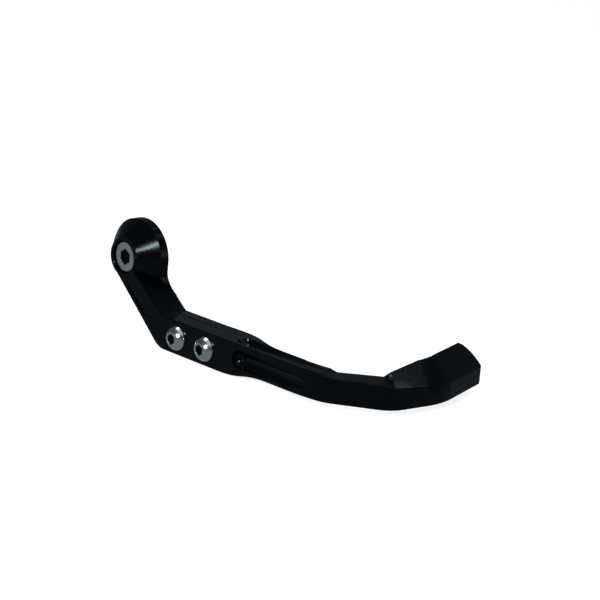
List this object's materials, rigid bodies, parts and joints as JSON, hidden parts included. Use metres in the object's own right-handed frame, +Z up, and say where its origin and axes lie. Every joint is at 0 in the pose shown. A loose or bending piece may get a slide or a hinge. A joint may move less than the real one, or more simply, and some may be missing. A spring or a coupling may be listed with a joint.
{
  "type": "brake lever guard",
  "caption": "Motorbike brake lever guard: a bar-end boss and leg screwed to a fluted blade that bends round the lever's tip.",
  "frame": {"origin": "centre of the boss's rear seat, on the axis of the bar end bolt", "axes": "+Y inwards along the bolt into the bar end, +X along the joint and the bar of the blade, +Z up"},
  "size_m": [0.1613, 0.0766, 0.0489],
  "materials": {
    "arm_anodised": "black anodised, satin",
    "blade_anodised": "black anodised, satin",
    "fastener_steel": "plain stainless, turned"
  },
  "bodies": {
    "root": {"mounting_arm": "arm_anodised", "guard_blade": "blade_anodised", "bar_end_bolt": "fastener_steel", "joint_screw_rear": "fastener_steel", "joint_screw_front": "fastener_steel"}
  },
  "joints": []
}
